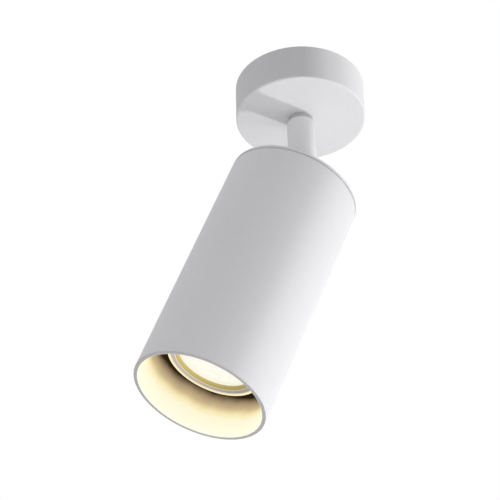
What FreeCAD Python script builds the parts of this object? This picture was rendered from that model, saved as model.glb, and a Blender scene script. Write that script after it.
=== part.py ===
"""Surface mounted ceiling spotlight: canopy, stem, tilting head and its lamp.

The frame is the row's own: origin on the ceiling at the centre of the mounting bracket, +Z up, millimetres.
The head's pieces are drawn in the head's own frame, with the tilt axis at its origin and the head hanging
straight down, and their Placement tilts them to the pose of the photograph.
"""
import FreeCAD
import Part
import Sketcher
import math
import os
import re

# name, millimetres (or degrees where the name ends in _angle), meaning
SIZES = [
    # canopy and mounting bracket
    ("canopy_radius", 35.0, "outside of the canopy"),
    ("canopy_depth", 22.2, "ceiling to the canopy's underside"),
    ("canopy_wall", 2.0, "side wall"),
    ("canopy_floor", 2.2, "bottom wall"),
    ("canopy_round", 0.9, "round on the lower outer edge"),
    ("canopy_rim_chamfer", 0.4, "chamfer at the ceiling"),
    ("bracket_plate", 1.5, "steel of the mounting bracket"),
    ("bracket_body_length", 52.0, "full-width part of the strap, along X"),
    ("bracket_width", 20.0, "strap, along Y"),
    ("bracket_clearance", 1.0, "ear's corners to the inside of the canopy"),
    ("ear_width", 12.0, "bent ear, along Y"),
    ("ear_drop", 10.5, "bent ear, ceiling to its lower end"),
    ("fixing_spacing", 34.0, "between the centres of the two ceiling slots"),
    ("fixing_slot_length", 10.0, "end to end"),
    ("fixing_slot_width", 4.4, "for a 4 mm screw"),
    ("cable_hole_radius", 7.0, "supply cable's way through the bracket"),
    ("canopy_screw_radius", 1.5, "M3 set screw"),
    ("canopy_screw_level", 7.0, "below the ceiling"),
    ("set_screw_nose_radius", 1.0, "plain nose in the ear, or on the tube's spigot"),
    ("set_screw_recess", 0.3, "set screw's end below the surface round it"),
    ("small_gap", 0.2, "between pieces that only have to stay apart"),
    ("screw_spare", 0.4, "threaded hole beyond its screw's end"),
    # terminals
    ("terminal_wing_reach", 24.5, "wing's outer edge, along +Y"),
    ("terminal_wing_width", 14.0, "along X"),
    ("terminal_pitch", 8.0, "between the two poles"),
    ("terminal_block_depth", 13.0, "along Y"),
    ("terminal_block_height", 10.0, "along Z"),
    ("terminal_block_gap", 0.8, "block to the edge of the strap"),
    ("insert_radius", 2.4, "brass tube outside"),
    ("insert_bore_radius", 1.6, "brass tube inside"),
    ("insert_inset", 0.5, "brass tube's ends inside the block's faces"),
    ("clamp_screw_radius", 1.3, "thread"),
    ("clamp_screw_head_radius", 1.9, "head"),
    ("clamp_screw_head_height", 1.5, "head"),
    ("clamp_screw_spacing", 6.4, "along the insert"),
    ("clamp_screw_rise", 0.6, "head above the insert, screwed down on a lead"),
    ("block_screw_radius", 1.25, "M2.5"),
    ("block_screw_head_radius", 2.3, "head"),
    ("block_screw_head_height", 1.5, "head"),
    ("block_screw_sink", 1.0, "head below the block's face"),
    ("earth_wing_reach", 21.5, "wing's outer edge, along -Y"),
    ("earth_wing_width", 13.0, "along X"),
    ("earth_screw_offset", 16.0, "from the centre, along -Y"),
    ("earth_screw_radius", 2.0, "M4"),
    ("earth_screw_head_radius", 3.6, "head"),
    ("earth_screw_head_height", 2.2, "head"),
    ("ring_terminal_radius", 4.1, "flat ring of an earth terminal"),
    ("ring_terminal_plate", 0.8, "its thickness"),
    ("ring_barrel_radius", 1.4, "crimp barrel outside"),
    ("ring_barrel_length", 3.5, "crimp barrel"),
    # stem and its bearing in the canopy
    ("stem_radius", 7.6, "outside of the stem"),
    ("neck_radius", 5.0, "threaded neck through the canopy"),
    ("stem_bore_radius", 3.5, "leads' way down the stem"),
    ("collar_radius", 6.5, "narrow top of the stem, under the canopy"),
    ("collar_height", 3.8, "canopy to the stem's shoulder, which leaves a dark groove"),
    ("collar_gap", 0.25, "canopy's underside to the collar"),
    ("bush_wall", 1.2, "nylon bush round the neck"),
    ("bush_flange_radius", 8.6, "on the canopy's floor"),
    ("bush_flange", 1.0, "thickness"),
    ("running_clearance", 0.05, "radial, shaft in hole"),
    ("stem_play", 0.1, "stop washer above the bush"),
    ("stop_washer_radius", 8.2, "round part"),
    ("stop_washer_plate", 1.0, "thickness"),
    ("stop_tab_reach", 12.6, "from the stem's axis"),
    ("stop_tab_width", 1.6, "tab"),
    ("stop_pin_radius", 0.8, "pin in the canopy's floor"),
    ("stop_pin_seat", 1.2, "depth pressed into the floor"),
    ("spring_washer_radius", 7.6, "outside"),
    ("spring_washer_plate", 0.8, "thickness"),
    ("spring_washer_split", 1.0, "gap"),
    ("nut_flats", 14.0, "across the flats"),
    ("nut_height", 4.0, "thin nut"),
    ("neck_end", 1.0, "neck above the nut"),
    ("bore_end", 1.0, "wide part of the stem's bore ends above the flats"),
    # tilt joint
    ("pivot_drop", 58.0, "ceiling to the tilt axis"),
    ("foot_thickness", 9.6, "over the stem's two flats"),
    ("foot_slot", 4.4, "fork's gap, for the leads"),
    ("foot_slot_rise", 5.0, "fork's gap above the tilt axis"),
    ("foot_clearance", 0.6, "round part of the stem to the knuckle"),
    ("pivot_nose_radius", 1.5, "plain nose of a pivot screw"),
    ("pivot_thread_radius", 2.0, "M4"),
    ("pivot_nose_inset", 0.3, "nose's end short of the fork's gap"),
    ("pivot_screw_sink", 0.9, "screw's socket end inside the block's side"),
    ("friction_washer_radius", 3.8, "outside"),
    ("friction_washer_plate", 0.5, "thickness"),
    ("tilt_play", 0.1, "foot to friction washer"),
    ("knuckle_radius", 11.0, "round block"),
    ("knuckle_rise", 3.9, "block above the tilt axis"),
    ("knuckle_scoop_radius", 5.4, "open side of the block, round the tilt axis"),
    ("knuckle_chamfer", 0.4, "block's upper edge"),
    ("swing_clearance", 0.3, "foot to the bottom and back of its slot"),
    ("lead_hole_radius", 2.6, "through the block and the cap"),
    ("knuckle_screw_offset", 7.6, "from the head's axis, along Y"),
    ("knuckle_screw_radius", 1.5, "M3"),
    ("knuckle_screw_reach", 6.5, "into the block"),
    ("screw_head_radius", 2.75, "M3 head"),
    ("screw_head_height", 1.8, "M3 head"),
    # head
    ("head_radius", 35.0, "outside of the tube"),
    ("head_wall", 2.2, "tube's wall"),
    ("tube_drop", 16.85, "tilt axis to the tube's upper end"),
    ("tube_length", 136.3, "head tube"),
    ("mouth_round", 0.4, "round on the mouth's edges"),
    ("cap_rim", 1.4, "visible rim of the cap"),
    ("cap_round", 0.6, "round on the cap's upper edge"),
    ("shadow_gap", 1.1, "height of the groove under the rim"),
    ("shadow_depth", 1.0, "depth of that groove"),
    ("cap_floor", 3.0, "plate over the head"),
    ("spigot_length", 7.0, "cap's ring inside the tube"),
    ("spigot_wall", 3.0, "that ring's wall"),
    ("spigot_clearance", 0.15, "radial, ring in the tube"),
    ("cap_screw_offset", 3.6, "below the tube's upper end"),
    ("cap_screw_radius", 1.5, "M3 set screw"),
    ("cap_screw_nose", 0.8, "length of its plain nose"),
    ("standoff_offset", 17.0, "from the head's axis, along X"),
    ("standoff_length", 43.5, "hexagon, cap to the lampholder's bracket"),
    ("standoff_flats", 5.5, "hexagon"),
    ("standoff_thread_radius", 1.5, "M3"),
    ("standoff_stud", 1.6, "into the cap"),
    ("standoff_hole", 6.0, "depth from below"),
    ("holder_bracket_plate", 1.2, "steel strip"),
    ("holder_bracket_width", 16.0, "along Y"),
    ("holder_bracket_end", 5.0, "beyond the standoffs' axes"),
    ("holder_bracket_hole", 6.2, "radius of the middle hole"),
    ("holder_radius", 13.5, "ceramic lampholder"),
    ("holder_height", 20.0, "ceramic lampholder"),
    ("holder_front", 2.8, "plate with the keyholes"),
    ("holder_cavity_radius", 8.4, "where the pins turn"),
    ("holder_cavity_height", 4.2, "where the pins turn"),
    ("holder_screw_offset", 9.6, "from the head's axis, along X"),
    ("holder_screw_reach", 6.0, "into the ceramic"),
    ("contact_width", 4.6, "contact leaf"),
    ("contact_plate", 1.4, "contact leaf"),
    ("head_earth_offset", 16.0, "from the head's axis"),
    ("head_earth_thread", 1.6, "into the cap"),
    # lamp
    ("lamp_radius", 25.0, "50 mm lamp"),
    ("lamp_length", 50.5, "face to base, without pins"),
    ("lamp_gap", 0.3, "lamp's base to the holder"),
    ("pin_spacing", 10.0, "between the two pins"),
    ("pin_radius", 1.6, "shank"),
    ("pin_head_radius", 2.4, "head"),
    ("pin_head_height", 2.2, "head"),
    ("pin_reach", 5.6, "base to the end of the pin"),
    ("pin_clearance", 0.3, "pin in its slot"),
    ("lock_angle", 35.0, "turn from entry to locked"),
    ("base_radius", 14.5, "lamp's base"),
    ("base_length", 14.0, "lamp's base"),
    ("base_wall", 1.6, "lamp's base"),
    ("base_floor", 2.6, "end with the pins"),
    ("base_chamfer", 1.7, "at the pin end"),
    ("housing_overlap", 4.0, "housing over the base"),
    ("housing_wall", 1.6, "lamp's housing"),
    ("housing_neck", 8.0, "from the housing's end to the flare"),
    ("housing_flare", 21.0, "length of the flare"),
    ("housing_web", 2.0, "plate that carries the light source"),
    ("web_depth", 12.0, "lamp's face to that plate"),
    ("web_hole_radius", 3.0, "leads' way through the plate"),
    ("led_board_inset", 6.0, "light source's board inside the lamp's outer wall"),
    ("led_board_plate", 1.2, "its thickness"),
    ("led_chip_size", 2.8, "square"),
    ("led_chip_height", 0.7, "above the board"),
    ("led_ring_radius", 6.0, "six chips round one"),
    ("driver_board_width", 18.0, "across"),
    ("driver_board_plate", 1.2, "thickness"),
    ("driver_board_length", 20.0, "along the lamp"),
    ("bezel_height", 3.8, "front ring"),
    ("bezel_lip_width", 1.2, "outermost bright edge"),
    ("bezel_step_depth", 0.6, "land below the edge"),
    ("bezel_land_width", 3.4, "flat land"),
    ("bezel_slope_width", 0.4, "sloping inner ring, across"),
    ("bezel_fall_depth", 1.6, "sloping inner ring, along the lamp"),
    ("lens_thickness", 1.4, "at its edge"),
    ("lens_crown", 0.7, "rise at the middle"),
    ("lens_clearance", 0.1, "lens in the bezel"),
    ("reflector_wall", 0.8, "reflector cup"),
    ("reflector_throat", 9.5, "radius at the board"),
    # leads and pose
    ("lead_radius", 0.75, "insulated lead"),
    ("lead_circle", 1.0, "three leads' centres round the axis"),
    ("lead_bend", 2.2, "bend of a lead"),
    ("lead_gap", 2.3, "leads' ends to the tilt axis"),
    ("lead_end", 0.6, "supply leads' ends above the stem's neck"),
    ("lead_turn", 1.2, "terminal block to where its leads turn"),
    ("photo_tilt_angle", 21.4, "head from straight down, in the photograph"),
]

# sizes that follow from others, as formulas
CANOPY_INSIDE = "(canopy_radius - canopy_wall)"
CANOPY_INNER_FLOOR = "(canopy_depth - canopy_floor)"
EAR_REACH = f"sqrt(({CANOPY_INSIDE} - bracket_clearance)^2 - (ear_width / 2)^2)"
BUSH_RADIUS = "(neck_radius + running_clearance + bush_wall)"
WASHER_LEVEL = f"({CANOPY_INNER_FLOOR} - bush_flange - stem_play)"
SPRING_LEVEL = f"({WASHER_LEVEL} - stop_washer_plate)"
NUT_LEVEL = f"({SPRING_LEVEL} - spring_washer_plate)"
NECK_TOP = f"({NUT_LEVEL} - nut_height - neck_end)"
COLLAR = "(canopy_depth + collar_gap)"
SHOULDER = "(canopy_depth + collar_height)"
SLOT_HALF = "(foot_thickness / 2 + tilt_play + friction_washer_plate)"
SWING_RADIUS = "(stem_radius + swing_clearance)"
FOOT_FLAT = "(knuckle_scoop_radius + foot_clearance)"
TUBE_INSIDE = "(head_radius - head_wall)"
CAP_TOP = "(tube_drop - shadow_gap - cap_rim)"
CAP_UNDER = f"({CAP_TOP} + cap_floor)"
SPIGOT_RADIUS = f"({TUBE_INSIDE} - spigot_clearance)"
MOUTH = "(tube_drop + tube_length)"
BRACKET_BACK = f"({CAP_UNDER} + standoff_length)"
HOLDER_BACK = f"({BRACKET_BACK} + holder_bracket_plate)"
HOLDER_FACE = f"({HOLDER_BACK} + holder_height)"
LAMP_BASE = f"({HOLDER_FACE} + lamp_gap)"
LAMP_FACE = f"({LAMP_BASE} + lamp_length)"
CAVITY_FRONT = f"({HOLDER_FACE} - holder_front)"
CAVITY_BACK = f"({CAVITY_FRONT} - holder_cavity_height)"
BASE_TOP = f"({LAMP_BASE} + base_length)"
HOUSING_END = f"({BASE_TOP} - housing_overlap)"
BEZEL_BACK = f"({LAMP_FACE} - bezel_height)"
WEB_FRONT = f"({LAMP_FACE} - web_depth)"
BEZEL_BORE = "(lamp_radius - bezel_lip_width - bezel_land_width - bezel_slope_width)"
LENS_RADIUS = f"({BEZEL_BORE} - lens_clearance)"
LED_BOARD_RADIUS = "(lamp_radius - led_board_inset)"
INSERT_LEVEL = "(bracket_plate + terminal_block_height / 2)"
BLOCK_NEAR = "(bracket_width / 2 + terminal_block_gap)"
BLOCK_BOTTOM = "(bracket_plate + terminal_block_height)"
RING_LEVEL = "(bracket_plate + ring_terminal_plate)"
HEAD_EARTH = {"x": "-head_earth_offset / sqrt(2)", "y": "head_earth_offset / sqrt(2)"}
STOP_PIN_PLACE = "(stop_tab_reach - stop_pin_radius)"
# live, neutral and earth round the axis
LEAD_PLACES = [("-lead_circle * sqrt(3) / 2", "-lead_circle / 2"),
               ("lead_circle * sqrt(3) / 2", "-lead_circle / 2"),
               ("0 * lead_circle", "lead_circle")]

# shares of a length
HEAD_SOCKET = 0.6         # depth of the socket in a screw's head
SET_SCREW_SOCKET = 0.45   # depth of the socket in a set screw's thread
LEAD_IN_BLOCK = 0.7       # lead's end in the terminal block
LEAD_SLANT = (0.3, 0.75)  # between holder and cap, where the leads draw together
LED_BOARD_HOLE = 0.6      # lead hole, on the board's radius
CHIPS_ROUND = 6           # light chips in the ring

doc = FreeCAD.newDocument("ceiling_spotlight")
sheet = doc.addObject("Spreadsheet::Sheet", "Sizes")
for row, (alias, number, meaning) in enumerate(SIZES, start=1):
    sheet.set(f"A{row}", alias)
    sheet.set(f"B{row}", str(number))
    sheet.setAlias(f"B{row}", alias)
    sheet.set(f"C{row}", meaning)
doc.recompute()

FUNCTIONS = ("sqrt", "min", "max")


def cells(formula):
    """The formula with each size's name pointing at its cell."""
    def in_sheet(word):
        return word.group() if word.group() in FUNCTIONS else "Sizes." + word.group()
    return re.sub(r"[a-z][a-z_]+", in_sheet, formula)


def value(formula):
    return float(sheet.evalExpression(cells(formula)))


def bind(thing, **formulas):
    """Binds properties to formulas; x, y and z are the Placement's position."""
    for name, formula in formulas.items():
        path = f".Placement.Base.{name}" if name in "xyz" else name
        thing.setExpression(path, cells(formula))
    return thing


# ---- plain solids --------------------------------------------------------------------------------

UP = FreeCAD.Rotation()
ALONG_X = FreeCAD.Rotation(FreeCAD.Vector(0, 1, 0), 90)
ALONG_Y = FreeCAD.Rotation(FreeCAD.Vector(1, 0, 0), -90)
ALONG_MINUS_Y = FreeCAD.Rotation(FreeCAD.Vector(1, 0, 0), 90)
ALONG_MINUS_X = FreeCAD.Rotation(FreeCAD.Vector(0, 1, 0), -90)
DOWN = FreeCAD.Rotation(FreeCAD.Vector(1, 0, 0), 180)


def solid(kind, name, rotation=UP, **formulas):
    thing = doc.addObject(kind, name)
    thing.Placement = FreeCAD.Placement(FreeCAD.Vector(), rotation)
    return bind(thing, **formulas)


def cylinder(name, radius, height, rotation=UP, **place):
    return solid("Part::Cylinder", name, rotation, Radius=radius, Height=height, **place)


def box(name, length, width, height, **place):
    return solid("Part::Box", name, UP, Length=length, Width=width, Height=height, **place)


def hexagon(name, flats, height, rotation=UP, **place):
    corner = f"({flats}) / sqrt(3)"
    thing = solid("Part::Prism", name, rotation, Circumradius=corner, Height=height, **place)
    thing.Polygon = 6
    return thing


def cut(name, base, *tools):
    tool = tools[0] if len(tools) == 1 else fuse(name + "_tools", *tools)
    thing = doc.addObject("Part::Cut", name)
    thing.Base, thing.Tool = base, tool
    return thing


def fuse(name, *parts):
    thing = doc.addObject("Part::MultiFuse", name)
    thing.Shapes = list(parts)
    return thing


def common(name, *parts):
    thing = doc.addObject("Part::MultiCommon", name)
    thing.Shapes = list(parts)
    return thing


def group(name, *parts):
    """Identical pieces that share a node, as separate solids."""
    thing = doc.addObject("Part::Compound", name)
    thing.Links = list(parts)
    return thing


# ---- sketched bodies -----------------------------------------------------------------------------

def origin_plane(body, role):
    return next(f for f in body.Origin.OriginFeatures if f.Role == role)


def new_sketch(body, name, role):
    sketch = body.newObject("Sketcher::SketchObject", name)
    sketch.AttachmentSupport = [(origin_plane(body, role), "")]
    sketch.MapMode = "FlatFace"
    return sketch


def pin_vertex(sketch, edge, vertex, across, up):
    """Holds one vertex at (across, up), each a formula."""
    for kind, axis, formula in (("DistanceX", -2, across), ("DistanceY", -1, up)):
        if formula == "0":
            sketch.addConstraint(Sketcher.Constraint("PointOnObject", edge, vertex, axis))
        else:
            index = sketch.addConstraint(Sketcher.Constraint(kind, -1, 1, edge, vertex, value(formula)))
            sketch.setExpression(f"Constraints[{index}]", cells(formula))


def add_outline(sketch, points):
    """A closed outline of straight lines through points given as pairs of formulas."""
    spots = [FreeCAD.Vector(value(across), value(up), 0) for across, up in points]
    first = sketch.GeometryCount
    count = len(points)
    for i in range(count):
        sketch.addGeometry(Part.LineSegment(spots[i], spots[(i + 1) % count]), False)
    for i in range(count):
        sketch.addConstraint(Sketcher.Constraint("Coincident", first + i, 2, first + (i + 1) % count, 1))
    for i, (across, up) in enumerate(points):
        pin_vertex(sketch, first + i, 1, across, up)


def add_circle(sketch, across, up, radius):
    centre = FreeCAD.Vector(value(across), value(up), 0)
    edge = sketch.addGeometry(Part.Circle(centre, FreeCAD.Vector(0, 0, 1), value(radius)), False)
    index = sketch.addConstraint(Sketcher.Constraint("Radius", edge, value(radius)))
    sketch.setExpression(f"Constraints[{index}]", cells(radius))
    pin_vertex(sketch, edge, 3, across, up)


def rectangle(x_low, x_high, y_low, y_high):
    return [(x_low, y_low), (x_high, y_low), (x_high, y_high), (x_low, y_high)]


def new_body(name):
    return doc.addObject("PartDesign::Body", name)


def turned(name, outline):
    """A body turned about Z from an outline of (radius, height) formulas."""
    body = new_body(name)
    sketch = new_sketch(body, name + "_section", "XZ_Plane")
    add_outline(sketch, outline)
    turn = body.newObject("PartDesign::Revolution", name + "_turn")
    turn.Profile = sketch
    turn.ReferenceAxis = (sketch, ["V_Axis"])
    turn.Angle = 360
    doc.recompute()
    return body


def plate(name, points, thickness):
    """A body padded down from an outline on the XY plane."""
    body = new_body(name)
    sketch = new_sketch(body, name + "_outline", "XY_Plane")
    add_outline(sketch, points)
    pad_down(body, sketch, thickness)
    return body


def pad_down(body, sketch, thickness):
    pad = body.newObject("PartDesign::Pad", sketch.Name + "_pad")
    pad.Profile = sketch
    pad.Reversed = True
    pad.setExpression("Length", cells(thickness))
    doc.recompute()


def pocket(body, name, role, circles=(), outlines=(), one_way=None):
    """Cuts through the body both ways from an origin plane, or only one way and so far."""
    sketch = new_sketch(body, name, role)
    for across, up, radius in circles:
        add_circle(sketch, across, up, radius)
    for outline in outlines:
        add_outline(sketch, outline)
    before = body.Shape.Volume
    feature = body.newObject("PartDesign::Pocket", name + "_cut")
    feature.Profile = sketch
    if one_way is None:
        feature.Type = 1
        feature.Midplane = True
    else:
        feature.setExpression("Length", cells(one_way))
    doc.recompute()
    if body.Shape.Volume > before - 1e-6:
        raise RuntimeError(f"{name} cuts nothing from {body.Name}")


def round_edges(body, name, radius, chosen, kind="PartDesign::Fillet"):
    """Fillets or chamfers the round edges that chosen picks by (radius, height)."""
    tip = body.Tip
    names = []
    for index, edge in enumerate(tip.Shape.Edges, start=1):
        curve = edge.Curve
        if isinstance(curve, Part.Circle) and chosen(curve.Radius, curve.Center.z):
            names.append(f"Edge{index}")
    if not names:
        raise RuntimeError(f"{name} finds no edge on {body.Name}")
    feature = body.newObject(kind, name)
    feature.Base = (tip, names)
    size = "Radius" if kind.endswith("Fillet") else "Size"
    feature.setExpression(size, cells(radius))
    doc.recompute()


def near(a, b):
    return abs(a - b) < 1e-4


# ---- leads ---------------------------------------------------------------------------------------

def lead(points, radius, bend):
    """A round lead along straight runs that tangent arcs join."""
    points = [FreeCAD.Vector(*p) for p in points]
    edges = []
    start = points[0]
    for before, corner, after in zip(points, points[1:], points[2:]):
        into = (corner - before).normalize()
        out = (after - corner).normalize()
        turn = into.getAngle(out)
        if turn < 1e-3:
            continue
        reach = bend * math.tan(turn / 2)
        first = corner - into * reach
        last = corner + out * reach
        bisector = (out - into).normalize()
        centre = corner + bisector * (bend / math.cos(turn / 2))
        middle = centre - bisector * bend
        edges.append(Part.LineSegment(start, first).toShape())
        edges.append(Part.Arc(first, middle, last).toShape())
        start = last
    edges.append(Part.LineSegment(start, points[-1]).toShape())
    path = Part.Wire(edges)
    section = Part.Wire([Part.Circle(points[0], points[1] - points[0], radius).toShape()])
    shell = Part.BRepOffsetAPI.MakePipeShell(path)
    shell.add(section)
    shell.build()
    shell.makeSolid()
    return shell.shape()


def shape_node(name, shape):
    thing = doc.addObject("Part::Feature", name)
    thing.Shape = shape
    return thing


def lead_spots():
    return [(value(x), value(y)) for x, y in LEAD_PLACES]


# ---- fasteners -----------------------------------------------------------------------------------

def headed_screw(name, radius, reach, head_radius, head_height, flats, rotation=UP, **place):
    """A socket screw: its head's seat is at the origin, the shank points along +Z."""
    shank = cylinder(name + "_shank", radius, f"{reach} + {head_height}", z=f"-({head_height})")
    head = cylinder(name + "_head", head_radius, head_height, z=f"-({head_height})")
    socket = hexagon(name + "_socket", flats, f"{head_height} * {HEAD_SOCKET}", z=f"-({head_height})")
    whole = cut(name, fuse(name + "_blank", shank, head), socket)
    whole.Placement.Rotation = rotation
    return bind(whole, **place)


def nosed_set_screw(name, radius, thread, nose_radius, nose, flats, rotation=UP, **place):
    """A set screw along +Z: socket end at the origin, then thread, then a plain nose."""
    blank = cylinder(name + "_thread", radius, thread)
    tip = cylinder(name + "_nose", nose_radius, f"{thread} + {nose}")
    socket = hexagon(name + "_socket", flats, f"{thread} * {SET_SCREW_SOCKET}")
    whole = cut(name, fuse(name + "_blank", blank, tip), socket)
    whole.Placement.Rotation = rotation
    return bind(whole, **place)


def washer(name, outside, inside, thickness, **place):
    return cut(name, cylinder(name + "_disc", outside, thickness, **place),
               cylinder(name + "_hole", inside, thickness, **place))


# ---- ceiling side --------------------------------------------------------------------------------

def mounting_bracket():
    half = "bracket_body_length / 2"
    width = "bracket_width / 2"
    ear = "ear_width / 2"
    right = [(half, f"-{width}"), (half, f"-{ear}"), (EAR_REACH, f"-{ear}"), (EAR_REACH, ear), (half, ear),
             (half, width)]
    wing = [("terminal_wing_width / 2", width), ("terminal_wing_width / 2", "terminal_wing_reach"),
            ("-terminal_wing_width / 2", "terminal_wing_reach"), ("-terminal_wing_width / 2", width)]
    left = [(f"-{across}", up) for across, up in reversed(right)]
    earth = [("-earth_wing_width / 2", f"-{width}"), ("-earth_wing_width / 2", "-earth_wing_reach"),
             ("earth_wing_width / 2", "-earth_wing_reach"), ("earth_wing_width / 2", f"-{width}")]
    body = plate("mounting_bracket", right + wing + left + earth, "bracket_plate")
    ears = new_sketch(body, "bracket_ears", "XY_Plane")
    inner = f"({EAR_REACH} - bracket_plate)"
    add_outline(ears, rectangle(inner, EAR_REACH, f"-{ear}", ear))
    add_outline(ears, rectangle(f"-{EAR_REACH}", f"-{inner}", f"-{ear}", ear))
    pad_down(body, ears, "ear_drop")
    pocket(body, "cable_and_screw_holes", "XY_Plane", circles=[
        ("0", "0", "cable_hole_radius"),
        ("0", f"{BLOCK_NEAR} + terminal_block_depth / 2", "block_screw_radius"),
        ("0", "-earth_screw_offset", "earth_screw_radius")])
    end = "(fixing_slot_length - fixing_slot_width) / 2"
    middle = "fixing_spacing / 2"
    for side, sign in (("right", ""), ("left", "-")):
        pocket(body, f"{side}_slot", "XY_Plane", outlines=[rectangle(
            f"{sign}({middle} - {end})", f"{sign}({middle} + {end})",
            "-fixing_slot_width / 2", "fixing_slot_width / 2")])
        pocket(body, f"{side}_slot_ends", "XY_Plane", circles=[
            (f"{sign}({middle} - {end})", "0", "fixing_slot_width / 2"),
            (f"{sign}({middle} + {end})", "0", "fixing_slot_width / 2")])
    pocket(body, "ear_holes", "YZ_Plane", circles=[
        ("0", "-canopy_screw_level", "set_screw_nose_radius + running_clearance")])
    return body


def canopy_cup():
    body = turned("canopy_cup", [
        (BUSH_RADIUS, "-canopy_depth"), ("canopy_radius", "-canopy_depth"), ("canopy_radius", "0"),
        (CANOPY_INSIDE, "0"), (CANOPY_INSIDE, f"-{CANOPY_INNER_FLOOR}"),
        (BUSH_RADIUS, f"-{CANOPY_INNER_FLOOR}")])
    radius, depth = value("canopy_radius"), value("canopy_depth")
    round_edges(body, "canopy_lower_round", "canopy_round",
                lambda r, z: near(r, radius) and near(z, -depth))
    round_edges(body, "canopy_rim", "canopy_rim_chamfer", lambda r, z: near(r, radius) and near(z, 0),
                "PartDesign::Chamfer")
    pocket(body, "canopy_screw_holes", "YZ_Plane", circles=[
        ("0", "-canopy_screw_level", "canopy_screw_radius")])
    pocket(body, "stop_pin_hole", "XY_Plane", circles=[(f"-{STOP_PIN_PLACE}", "0", "stop_pin_radius")],
           one_way=f"{CANOPY_INNER_FLOOR} + stop_pin_seat")
    return body


def canopy_set_screws():
    screws = []
    for side, rotation, sign in (("right", ALONG_MINUS_X, ""), ("left", ALONG_X, "-")):
        thread = f"(canopy_radius - set_screw_recess - {EAR_REACH})"
        screws.append(nosed_set_screw(
            f"canopy_screw_{side}", "canopy_screw_radius", thread, "set_screw_nose_radius", "bracket_plate",
            "canopy_screw_radius", rotation, x=f"{sign}(canopy_radius - set_screw_recess)",
            z="-canopy_screw_level"))
    return group("canopy_set_screws", *screws)


def clamp_places():
    """The four clamp screws: two to each insert."""
    middle = f"({BLOCK_NEAR} + terminal_block_depth / 2)"
    return [(f"{sx}terminal_pitch / 2", f"{middle} {sy} clamp_screw_spacing / 2") for sx in ("-", "")
            for sy in ("-", "+")]


def terminal_block():
    """The block, its inserts and screws, under the bracket's wing."""
    block = box("block_blank", "2 * terminal_pitch", "terminal_block_depth", "terminal_block_height",
                x="-terminal_pitch", y=BLOCK_NEAR, z=f"-{BLOCK_BOTTOM}")
    tools, inserts, screws = [], [], []
    tip = f"({INSERT_LEVEL} + lead_radius + running_clearance)"
    for index, side in enumerate(("-", "")):
        across = f"{side}terminal_pitch / 2"
        tools.append(cylinder(f"insert_way_{index}", "insert_radius", "terminal_block_depth", ALONG_Y,
                              x=across, y=BLOCK_NEAR, z=f"-{INSERT_LEVEL}"))
        tube = cylinder(f"insert_tube_{index}", "insert_radius", "terminal_block_depth - 2 * insert_inset",
                        ALONG_Y, x=across, y=f"{BLOCK_NEAR} + insert_inset", z=f"-{INSERT_LEVEL}")
        bore = cylinder(f"insert_bore_{index}", "insert_bore_radius", "terminal_block_depth", ALONG_Y,
                        x=across, y=BLOCK_NEAR, z=f"-{INSERT_LEVEL}")
        threads = [cylinder(f"insert_thread_{index}_{n}", "clamp_screw_radius", "insert_radius",
                            x=x, y=y, z=f"-({INSERT_LEVEL} + insert_radius)")
                   for n, (x, y) in enumerate(clamp_places()) if x == across]
        inserts.append(cut(f"insert_{index}", tube, bore, *threads))
    seat = f"({INSERT_LEVEL} + insert_radius + clamp_screw_rise)"
    for index, (x, y) in enumerate(clamp_places()):
        tools.append(cylinder(f"clamp_well_{index}", "clamp_screw_head_radius + small_gap",
                              "terminal_block_height / 2", x=x, y=y, z=f"-{BLOCK_BOTTOM}"))
        screws.append(headed_screw(f"clamp_screw_{index}", "clamp_screw_radius", f"({seat} - {tip})",
                                   "clamp_screw_head_radius", "clamp_screw_head_height",
                                   "clamp_screw_radius", x=x, y=y, z=f"-{seat}"))
    middle = f"{BLOCK_NEAR} + terminal_block_depth / 2"
    tools.append(cylinder("block_screw_way", "block_screw_radius", "terminal_block_height", y=middle,
                          z=f"-{BLOCK_BOTTOM}"))
    seat = f"({BLOCK_BOTTOM} - block_screw_head_height - block_screw_sink)"
    tools.append(cylinder("block_screw_well", "block_screw_head_radius + small_gap",
                          f"{BLOCK_BOTTOM} - {seat}", y=middle, z=f"-{BLOCK_BOTTOM}"))
    fixing = headed_screw("terminal_block_screw", "block_screw_radius", f"({seat} - small_gap)",
                          "block_screw_head_radius", "block_screw_head_height", "block_screw_radius",
                          y=middle, z=f"-{seat}")
    return [cut("terminal_block", block, *tools), group("terminal_inserts", *inserts),
            group("terminal_clamp_screws", *screws), fixing]


def ring_terminal(name, screw_radius, **place):
    """A flat ring with a crimp barrel towards +Y; the ring's upper face is at the origin."""
    ring = cylinder(name + "_ring", "ring_terminal_radius", "ring_terminal_plate", z="-ring_terminal_plate")
    neck = box(name + "_neck", "2 * ring_barrel_radius", "ring_terminal_radius + ring_barrel_radius",
               "ring_terminal_plate", x="-ring_barrel_radius", z="-ring_terminal_plate")
    barrel = cylinder(name + "_barrel", "ring_barrel_radius", "ring_barrel_length", ALONG_Y,
                      y="ring_terminal_radius + small_gap", z="-ring_barrel_radius")
    hole = cylinder(name + "_hole", screw_radius, "ring_terminal_plate", z="-ring_terminal_plate")
    bore = cylinder(name + "_bore", "lead_radius", "ring_barrel_length", ALONG_Y,
                    y="ring_terminal_radius + small_gap", z="-ring_barrel_radius")
    return bind(cut(name, fuse(name + "_blank", ring, neck, barrel), hole, bore), **place)


def bracket_earth():
    screw = headed_screw("earth_screw", "earth_screw_radius", f"({RING_LEVEL} - small_gap)",
                         "earth_screw_head_radius", "earth_screw_head_height", "earth_screw_radius",
                         y="-earth_screw_offset", z=f"-{RING_LEVEL}")
    ring = ring_terminal("earth_ring_terminal", "earth_screw_radius", y="-earth_screw_offset",
                         z="-bracket_plate")
    return [screw, ring]


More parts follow.
